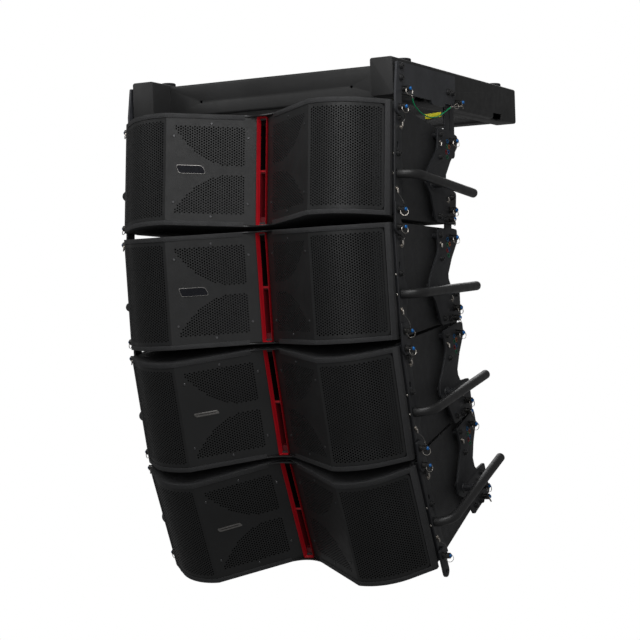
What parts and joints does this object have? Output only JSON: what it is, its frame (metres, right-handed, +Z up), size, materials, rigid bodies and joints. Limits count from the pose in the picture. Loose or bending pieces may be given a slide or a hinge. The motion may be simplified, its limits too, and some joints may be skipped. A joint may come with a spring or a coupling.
{
  "type": "line array speaker",
  "caption": "Hung line array: steel fly frame over hinged curved cabinets with perforated wings, a central red waveguide, side rigging rails, grab handles and rear links.",
  "frame": {"origin": "midway along the fly frame, on the plane of its beam tops, on the centre line", "axes": "+X to the array's right seen from the audience, +Y to the rear, +Z up"},
  "size_m": [0.767, 0.8069, 1.1528],
  "materials": {
    "cabinet_paint": "matte",
    "rigging_steel": "satin",
    "grille_steel": "matte",
    "horn_red": "satin",
    "driver_metal": "matte",
    "stainless": "satin",
    "blue_plastic": "gloss",
    "foot_rubber": "matte",
    "green_pvc": "gloss"
  },
  "bodies": {
    "frame": {"frame_beam_right": "rigging_steel", "frame_beam_left": "rigging_steel", "cheek_plate_right": "rigging_steel", "cheek_plate_left": "rigging_steel", "crossbeam_front": "rigging_steel", "crossbeam_rear": "rigging_steel", "foot_front_right": "foot_rubber", "foot_front_left": "foot_rubber", "foot_rear_right": "foot_rubber", "foot_rear_left": "foot_rubber", "lanyard": "green_pvc"},
    "cabinet_1": {"enclosure_1": "cabinet_paint", "waveguide_1": "horn_red", "grille_right_1": "grille_steel", "grille_left_1": "grille_steel", "woofer_right_1": "driver_metal", "woofer_left_1": "driver_metal", "side_frame_right_1": "rigging_steel", "side_frame_left_1": "rigging_steel"},
    "cabinet_2": {"enclosure_2": "cabinet_paint", "waveguide_2": "horn_red", "grille_right_2": "grille_steel", "grille_left_2": "grille_steel", "woofer_right_2": "driver_metal", "woofer_left_2": "driver_metal", "side_frame_right_2": "rigging_steel", "side_frame_left_2": "rigging_steel"},
    "cabinet_3": {"enclosure_3": "cabinet_paint", "waveguide_3": "horn_red", "grille_right_3": "grille_steel", "grille_left_3": "grille_steel", "woofer_right_3": "driver_metal", "woofer_left_3": "driver_metal", "side_frame_right_3": "rigging_steel", "side_frame_left_3": "rigging_steel"},
    "cabinet_4": {"enclosure_4": "cabinet_paint", "waveguide_4": "horn_red", "grille_right_4": "grille_steel", "grille_left_4": "grille_steel", "woofer_right_4": "driver_metal", "woofer_left_4": "driver_metal", "side_frame_right_4": "rigging_steel", "side_frame_left_4": "rigging_steel"},
    "drop_link_right": {"drop_link_right": "rigging_steel"},
    "drop_link_left": {"drop_link_left": "rigging_steel"},
    "rear_link_right_2": {"rear_link_right_2": "rigging_steel"},
    "rear_link_left_2": {"rear_link_left_2": "rigging_steel"},
    "rear_link_right_3": {"rear_link_right_3": "rigging_steel"},
    "rear_link_left_3": {"rear_link_left_3": "rigging_steel"},
    "rear_link_right_4": {"rear_link_right_4": "rigging_steel"},
    "rear_link_left_4": {"rear_link_left_4": "rigging_steel"},
    "hinge_pin_1": {"hinge_pin_1": "stainless"},
    "pin_button_1": {"pin_button_1": "blue_plastic"},
    "hinge_pin_2": {"hinge_pin_2": "stainless"},
    "pin_button_2": {"pin_button_2": "blue_plastic"},
    "hinge_pin_3": {"hinge_pin_3": "stainless"},
    "pin_button_3": {"pin_button_3": "blue_plastic"},
    "hinge_pin_4": {"hinge_pin_4": "stainless"},
    "pin_button_4": {"pin_button_4": "blue_plastic"}
  },
  "joints": [
    {"name": "splay_1", "type": "hinge", "parent": "frame", "child": "cabinet_1", "pos_m": [0, -0.33417, -0.11079], "axis": [1, 0, 0], "range_deg": [0, 9]},
    {"name": "splay_2", "type": "hinge", "parent": "cabinet_1", "child": "cabinet_2", "pos_m": [0, -0.35457, -0.36999], "axis": [1, 0, 0], "range_deg": [-9, 1]},
    {"name": "splay_3", "type": "hinge", "parent": "cabinet_2", "child": "cabinet_3", "pos_m": [0, -0.33417, -0.62919], "axis": [1, 0, 0], "range_deg": [-10, 0]},
    {"name": "splay_4", "type": "hinge", "parent": "cabinet_3", "child": "cabinet_4", "pos_m": [0, -0.26907, -0.88091], "axis": [1, 0, 0], "range_deg": [-10, 0]},
    {"name": "drop_link_right_swing", "type": "hinge", "parent": "frame", "child": "drop_link_right", "pos_m": [0.333, -0.062, -0.06], "axis": [1, 0, 0], "range_deg": [0, 90]},
    {"name": "drop_link_left_swing", "type": "hinge", "parent": "frame", "child": "drop_link_left", "pos_m": [-0.333, -0.062, -0.06], "axis": [1, 0, 0], "range_deg": [0, 90]},
    {"name": "rear_link_right_2_swing", "type": "hinge", "parent": "cabinet_1", "child": "rear_link_right_2", "pos_m": [0.333, -0.08253, -0.32921], "axis": [1, 0, 0], "range_deg": [0, 90]},
    {"name": "rear_link_left_2_swing", "type": "hinge", "parent": "cabinet_1", "child": "rear_link_left_2", "pos_m": [-0.333, -0.08253, -0.32921], "axis": [1, 0, 0], "range_deg": [0, 90]},
    {"name": "rear_link_right_3_swing", "type": "hinge", "parent": "cabinet_2", "child": "rear_link_right_3", "pos_m": [0.333, -0.07186, -0.54635], "axis": [1, 0, 0], "range_deg": [0, 90]},
    {"name": "rear_link_left_3_swing", "type": "hinge", "parent": "cabinet_2", "child": "rear_link_left_3", "pos_m": [-0.333, -0.07186, -0.54635], "axis": [1, 0, 0], "range_deg": [0, 90]},
    {"name": "rear_link_right_4_swing", "type": "hinge", "parent": "cabinet_3", "child": "rear_link_right_4", "pos_m": [0.333, -0.02513, -0.75378], "axis": [1, 0, 0], "range_deg": [0, 90]},
    {"name": "rear_link_left_4_swing", "type": "hinge", "parent": "cabinet_3", "child": "rear_link_left_4", "pos_m": [-0.333, -0.02513, -0.75378], "axis": [1, 0, 0], "range_deg": [0, 90]},
    {"name": "hinge_pin_1_pull", "type": "slide", "parent": "cabinet_1", "child": "hinge_pin_1", "axis": [1, 0, 0], "range_m": [0, 0.03]},
    {"name": "pin_button_1_press", "type": "slide", "parent": "hinge_pin_1", "child": "pin_button_1", "axis": [-1, 0, 0], "range_m": [0, 0.003], "stiffness_N_per_m": 400},
    {"name": "hinge_pin_2_pull", "type": "slide", "parent": "cabinet_2", "child": "hinge_pin_2", "axis": [1, 0, 0], "range_m": [0, 0.03]},
    {"name": "pin_button_2_press", "type": "slide", "parent": "hinge_pin_2", "child": "pin_button_2", "axis": [-1, 0, 0], "range_m": [0, 0.003], "stiffness_N_per_m": 400},
    {"name": "hinge_pin_3_pull", "type": "slide", "parent": "cabinet_3", "child": "hinge_pin_3", "axis": [1, 0, 0], "range_m": [0, 0.03]},
    {"name": "pin_button_3_press", "type": "slide", "parent": "hinge_pin_3", "child": "pin_button_3", "axis": [-1, 0, 0], "range_m": [0, 0.003], "stiffness_N_per_m": 400},
    {"name": "hinge_pin_4_pull", "type": "slide", "parent": "cabinet_4", "child": "hinge_pin_4", "axis": [1, 0, 0], "range_m": [0, 0.03]},
    {"name": "pin_button_4_press", "type": "slide", "parent": "hinge_pin_4", "child": "pin_button_4", "axis": [-1, 0, 0], "range_m": [0, 0.003], "stiffness_N_per_m": 400}
  ]
}
